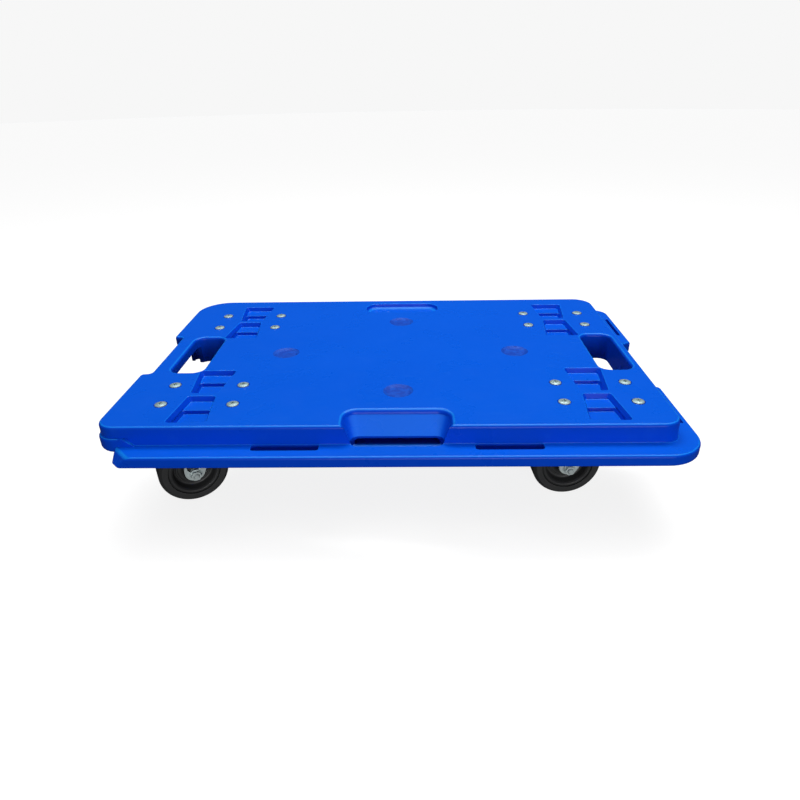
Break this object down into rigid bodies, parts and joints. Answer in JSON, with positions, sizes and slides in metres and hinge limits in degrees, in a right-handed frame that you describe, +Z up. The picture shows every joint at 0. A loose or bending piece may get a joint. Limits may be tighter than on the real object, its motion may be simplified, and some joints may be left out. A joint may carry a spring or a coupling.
{
  "type": "platform dolly",
  "caption": "Low rectangular plastic platform dolly with stepped interlocking edges, hand holes and swivel casters.",
  "frame": {"origin": "centre of the footprint, on the floor", "axes": "+X along the long side, towards the side with the lower ledge; -Y towards the front ledge; +Z up"},
  "size_m": [0.595, 0.402, 0.1217],
  "materials": {
    "deck_plastic": "satin moulded",
    "zinc_steel": "bright zinc plated",
    "wheel_plastic": "satin moulded",
    "tyre_rubber": "matt"
  },
  "bodies": {
    "deck": {"deck": "deck_plastic", "deck_bolt_front_left_1": "zinc_steel", "deck_bolt_front_left_2": "zinc_steel", "deck_bolt_front_left_3": "zinc_steel", "deck_bolt_front_left_4": "zinc_steel", "deck_bolt_front_right_1": "zinc_steel", "deck_bolt_front_right_2": "zinc_steel", "deck_bolt_front_right_3": "zinc_steel", "deck_bolt_front_right_4": "zinc_steel", "deck_bolt_rear_left_1": "zinc_steel", "deck_bolt_rear_left_2": "zinc_steel", "deck_bolt_rear_left_3": "zinc_steel", "deck_bolt_rear_left_4": "zinc_steel", "deck_bolt_rear_right_1": "zinc_steel", "deck_bolt_rear_right_2": "zinc_steel", "deck_bolt_rear_right_3": "zinc_steel", "deck_bolt_rear_right_4": "zinc_steel", "caster_plate_front_left": "zinc_steel", "ball_race_front_left": "zinc_steel", "kingpin_front_left": "zinc_steel", "king_washer_front_left": "zinc_steel", "caster_plate_front_right": "zinc_steel", "ball_race_front_right": "zinc_steel", "kingpin_front_right": "zinc_steel", "king_washer_front_right": "zinc_steel", "caster_plate_rear_left": "zinc_steel", "ball_race_rear_left": "zinc_steel", "kingpin_rear_left": "zinc_steel", "king_washer_rear_left": "zinc_steel", "caster_plate_rear_right": "zinc_steel", "ball_race_rear_right": "zinc_steel", "kingpin_rear_right": "zinc_steel", "king_washer_rear_right": "zinc_steel"},
    "swivel_front_left": {"fork_front_left": "zinc_steel", "axle_bolt_front_left": "zinc_steel", "axle_nut_front_left": "zinc_steel", "axle_bush_front_left": "zinc_steel"},
    "wheel_front_left": {"wheel_core_front_left": "wheel_plastic", "tyre_front_left": "tyre_rubber"},
    "swivel_front_right": {"fork_front_right": "zinc_steel", "axle_bolt_front_right": "zinc_steel", "axle_nut_front_right": "zinc_steel", "axle_bush_front_right": "zinc_steel"},
    "wheel_front_right": {"wheel_core_front_right": "wheel_plastic", "tyre_front_right": "tyre_rubber"},
    "swivel_rear_left": {"fork_rear_left": "zinc_steel", "axle_bolt_rear_left": "zinc_steel", "axle_nut_rear_left": "zinc_steel", "axle_bush_rear_left": "zinc_steel"},
    "wheel_rear_left": {"wheel_core_rear_left": "wheel_plastic", "tyre_rear_left": "tyre_rubber"},
    "swivel_rear_right": {"fork_rear_right": "zinc_steel", "axle_bolt_rear_right": "zinc_steel", "axle_nut_rear_right": "zinc_steel", "axle_bush_rear_right": "zinc_steel"},
    "wheel_rear_right": {"wheel_core_rear_right": "wheel_plastic", "tyre_rear_right": "tyre_rubber"}
  },
  "joints": [
    {"name": "swivel_turn_front_left", "type": "hinge", "parent": "deck", "child": "swivel_front_left", "pos_m": [-0.208, -0.10675, 0.0859], "axis": [0, 0, 1], "continuous": true},
    {"name": "wheel_roll_front_left", "type": "hinge", "parent": "swivel_front_left", "child": "wheel_front_left", "pos_m": [-0.23007, -0.11849, 0.0375], "axis": [0.4695, -0.8829, 0], "continuous": true},
    {"name": "swivel_turn_front_right", "type": "hinge", "parent": "deck", "child": "swivel_front_right", "pos_m": [0.208, -0.10675, 0.0859], "axis": [0, 0, 1], "continuous": true},
    {"name": "wheel_roll_front_right", "type": "hinge", "parent": "swivel_front_right", "child": "wheel_front_right", "pos_m": [0.18306, -0.10849, 0.0375], "axis": [0.0698, -0.9976, 0], "continuous": true},
    {"name": "swivel_turn_rear_left", "type": "hinge", "parent": "deck", "child": "swivel_rear_left", "pos_m": [-0.208, 0.11475, 0.0859], "axis": [0, 0, 1], "continuous": true},
    {"name": "wheel_roll_rear_left", "type": "hinge", "parent": "swivel_rear_left", "child": "wheel_rear_left", "pos_m": [-0.23203, 0.10786, 0.0375], "axis": [0.2756, -0.9613, 0], "continuous": true},
    {"name": "swivel_turn_rear_right", "type": "hinge", "parent": "deck", "child": "swivel_rear_right", "pos_m": [0.208, 0.11475, 0.0859], "axis": [0, 0, 1], "continuous": true},
    {"name": "wheel_roll_rear_right", "type": "hinge", "parent": "swivel_rear_right", "child": "wheel_rear_right", "pos_m": [0.183, 0.11431, 0.0375], "axis": [0.0175, -0.9998, 0], "continuous": true}
  ]
}
